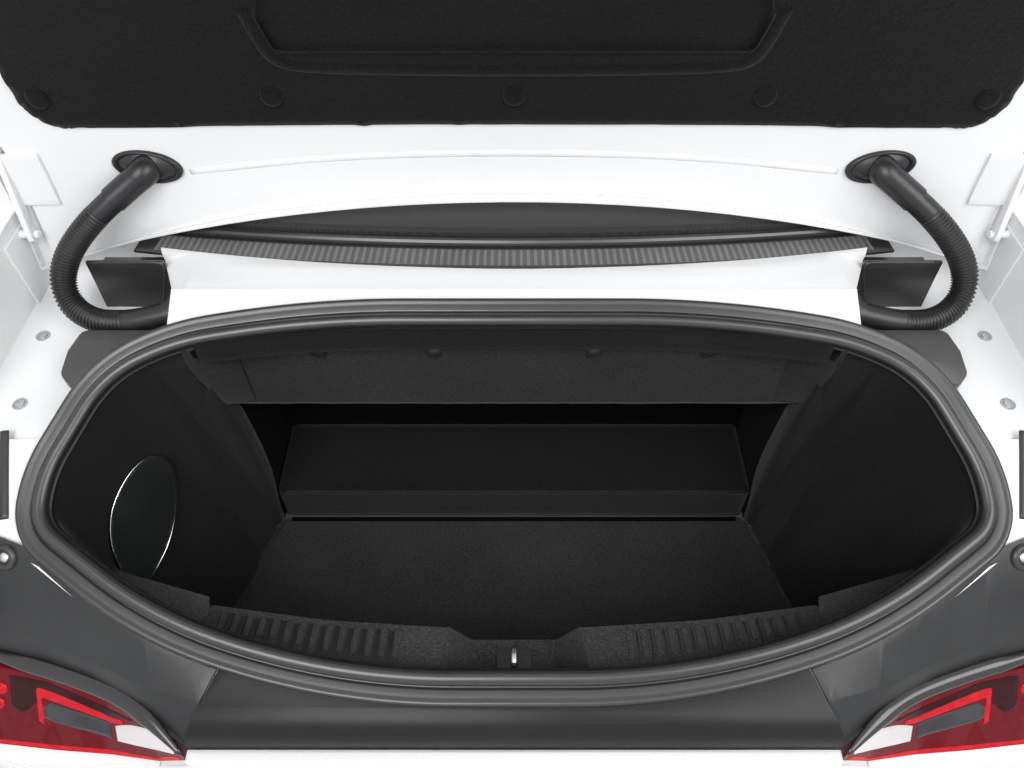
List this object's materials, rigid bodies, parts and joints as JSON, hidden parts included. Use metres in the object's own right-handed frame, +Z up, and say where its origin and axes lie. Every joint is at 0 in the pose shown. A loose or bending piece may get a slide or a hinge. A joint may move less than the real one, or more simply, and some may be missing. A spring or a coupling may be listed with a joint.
{
  "type": "roadster boot section",
  "caption": "Rear boot section of a two-seat roadster: lined load space, sealed mouth and painted lid on hinges, shown open.",
  "frame": {"origin": "middle of the four-hole bolt pattern in the rails on the front bulkhead, in the rails' front face", "axes": "+X to the car's right, +Y forwards along the car, +Z up"},
  "size_m": [1.81, 0.762, 1.2888],
  "materials": {
    "body_paint": "gloss",
    "inner_paint": "satin",
    "tub_paint": "satin",
    "felt": "matte",
    "carpet": "matte",
    "seal_rubber": "satin",
    "black_plastic": "satin",
    "satin_panel": "satin",
    "lamp_red": "gloss",
    "lamp_body": "satin",
    "steel": "satin",
    "textile": "matte"
  },
  "bodies": {
    "boot": {"boot_tub": "tub_paint", "side_liner_left": "felt", "side_liner_right": "felt", "rear_liner": "felt", "recess_liner": "felt", "floor_mat": "carpet", "step_board": "carpet", "front_flap": "felt", "flap_pins": "black_plastic", "sill_trim": "black_plastic", "mount_rails": "tub_paint", "striker": "steel", "oval_cover": "felt", "deck_frame": "inner_paint", "hinge_pocket_left": "inner_paint", "hinge_pocket_right": "inner_paint", "boot_seal": "seal_rubber", "tonneau_seal": "seal_rubber", "tonneau_panel": "textile", "rear_cross_panel": "satin_panel", "corner_panel_left": "satin_panel", "corner_panel_right": "satin_panel", "bump_stops": "seal_rubber", "quarter_panel_left": "body_paint", "quarter_panel_right": "body_paint", "bumper_cover": "body_paint", "tail_lamp_lens_left": "lamp_red", "tail_lamp_lens_right": "lamp_red", "tail_lamp_housing_left": "lamp_body", "tail_lamp_housing_right": "lamp_body", "hinge_bracket_left": "inner_paint", "hinge_bracket_right": "inner_paint", "hinge_covers": "black_plastic", "corner_guards": "seal_rubber", "conduit_grommets": "seal_rubber", "conduit_left": "seal_rubber", "conduit_right": "seal_rubber"},
    "lid": {"lid_outer": "body_paint", "lid_inner": "inner_paint", "lid_liner": "felt", "lid_liner_pins": "black_plastic", "lid_latch": "black_plastic", "hinge_arm_left": "inner_paint", "hinge_arm_right": "inner_paint", "lid_grommets": "seal_rubber"}
  },
  "joints": [
    {"name": "lid_hinge", "type": "hinge", "parent": "boot", "child": "lid", "pos_m": [0, -0.095, 0.348], "axis": [1, 0, 0], "range_deg": [0, 100], "deforming": ["conduit_left", "conduit_right"]}
  ]
}
